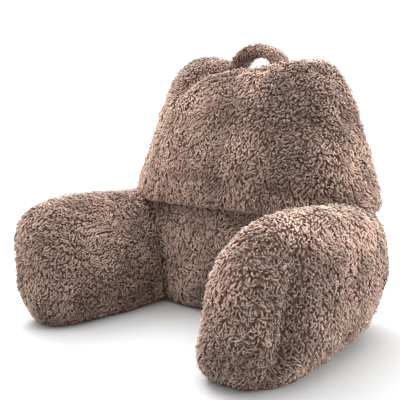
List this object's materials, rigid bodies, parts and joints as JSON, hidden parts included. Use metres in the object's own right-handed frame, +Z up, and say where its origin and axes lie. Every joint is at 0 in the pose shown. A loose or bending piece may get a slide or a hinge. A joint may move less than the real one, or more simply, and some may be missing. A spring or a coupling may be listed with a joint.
{
  "type": "armed backrest cushion",
  "caption": "Upright support cushion with a tapered back, a lumbar section, side arms and a carrying handle, in long curly pile.",
  "frame": {"origin": "on the floor, under the front face of the lumbar cushion and midway between the arms", "axes": "+Z up; -Y towards the sitter's feet, the way the arms reach; +X across, towards the arm at the picture's right"},
  "size_m": [0.6078, 0.4691, 0.516],
  "materials": {
    "pile": "long curly matt pile, greyish rose brown"
  },
  "bodies": {
    "root": {"upper_back": "pile", "lumbar": "pile", "arm_left": "pile", "arm_right": "pile", "handle": "pile"}
  },
  "joints": []
}
